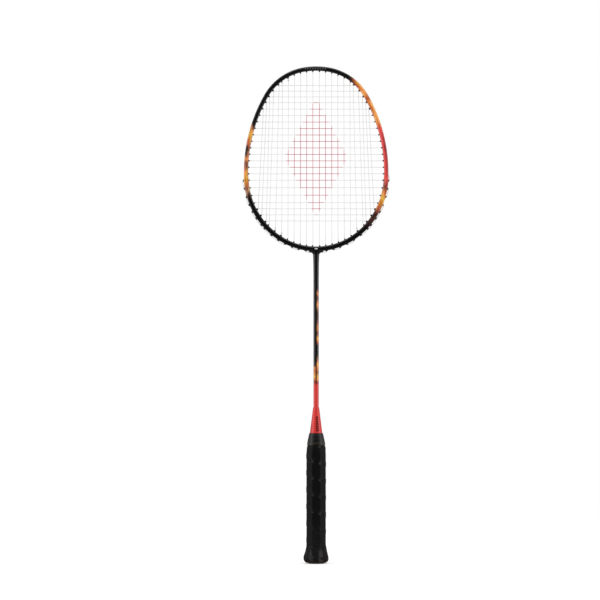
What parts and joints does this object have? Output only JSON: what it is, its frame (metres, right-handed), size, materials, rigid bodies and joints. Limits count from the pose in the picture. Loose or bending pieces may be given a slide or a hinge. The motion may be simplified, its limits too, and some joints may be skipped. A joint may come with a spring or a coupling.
{
  "type": "badminton racket",
  "caption": "Strung badminton racket: oval carbon head, slim tapered shaft, cone cap and octagonal handle with a wound grip.",
  "frame": {"origin": "middle of the flat end of the butt, the racket standing upright on it", "axes": "+Z along the shaft from the butt to the top of the head, +X across the head to the right of the front face, -Y out of the front face, square to the string bed"},
  "size_m": [0.2005, 0.034, 0.675],
  "materials": {
    "hoop_paint": "gloss paint over carbon fibre; black, running through gold and orange to coral red at the sides",
    "throat_paint": "gloss black paint over carbon fibre",
    "core_metal": "as moulded, hidden",
    "shaft_paint": "gloss paint over carbon fibre; black at the top, red below",
    "cone_paint": "gloss coral red",
    "handle_wood": "sanded, hidden under the grip",
    "butt_plastic": "satin black",
    "badge_plastic": "satin charcoal",
    "grip_strip": "matte black polyurethane strip",
    "tape": "matte black",
    "staple_steel": "plain wire, hidden",
    "string_nylon": "white nylon with a light braid",
    "grommet_nylon": "satin black nylon"
  },
  "bodies": {
    "root": {"head_hoop": "hoop_paint", "throat_yoke": "throat_paint", "throat_core": "core_metal", "shaft": "shaft_paint", "cone_cap": "cone_paint", "handle_core": "handle_wood", "butt_cap": "butt_plastic", "end_badge": "badge_plastic", "grip_wrap": "grip_strip", "finishing_tape": "tape", "grip_staple": "staple_steel", "main_string": "string_nylon", "cross_string": "string_nylon", "string_knots": "string_nylon", "top_grommets": "grommet_nylon", "left_shoulder_grommets": "grommet_nylon", "right_shoulder_grommets": "grommet_nylon", "left_side_grommets": "grommet_nylon", "right_side_grommets": "grommet_nylon", "left_corner_grommets": "grommet_nylon", "right_corner_grommets": "grommet_nylon", "bottom_grommets": "grommet_nylon"}
  },
  "joints": []
}
